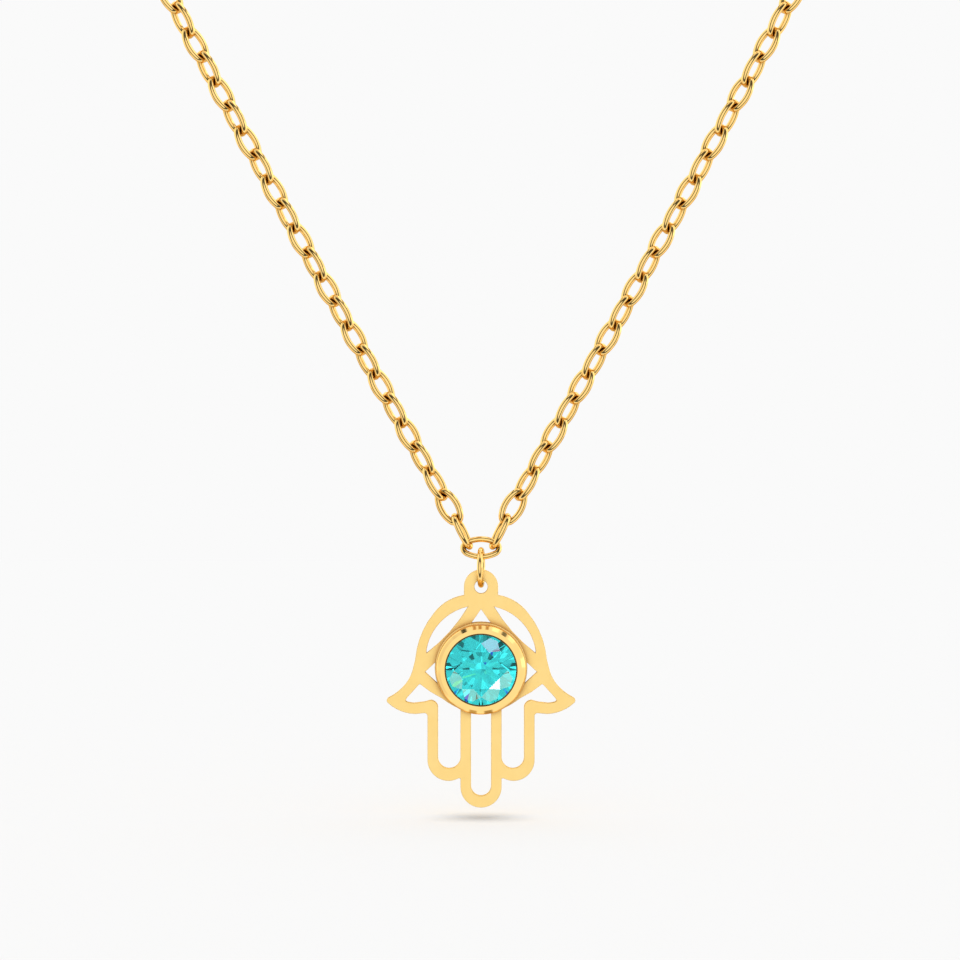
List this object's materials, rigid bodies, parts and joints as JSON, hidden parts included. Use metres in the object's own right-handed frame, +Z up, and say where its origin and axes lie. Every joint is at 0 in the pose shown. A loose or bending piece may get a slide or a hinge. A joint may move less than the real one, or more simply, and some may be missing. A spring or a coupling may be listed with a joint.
{
  "type": "hamsa pendant necklace",
  "caption": "Pierced flat hand pendant with a round blue-green stone, hung by a jump ring from a fine cable chain that closes in a whole loop.",
  "frame": {"origin": "the underside of the clasp's barrel, where the nape carries the necklace", "axes": "+Z up, -Y to the front that the pendant shows, +X to the right as seen from the front"},
  "size_m": [0.112, 0.0042, 0.1868],
  "materials": {
    "polished_gold": "polished yellow gold",
    "satin_gold": "satin yellow gold, with a polished bezel",
    "blue_green_stone": "polished facets"
  },
  "bodies": {
    "necklace": {"chain_left": "polished_gold", "chain_right": "polished_gold", "centre_link": "polished_gold", "clasp": "polished_gold"},
    "ring": {"jump_ring": "polished_gold"},
    "pendant": {"hand_setting": "satin_gold", "stone": "blue_green_stone"}
  },
  "joints": [
    {"name": "ring_swing", "type": "hinge", "parent": "necklace", "child": "ring", "pos_m": [0, -0.00021, -0.16771], "axis": [1, 0, 0], "range_deg": [-60, 50]},
    {"name": "pendant_swing", "type": "hinge", "parent": "ring", "child": "pendant", "pos_m": [0, -0.00021, -0.16957], "axis": [0, 1, 0], "range_deg": [-60, 60]}
  ]
}
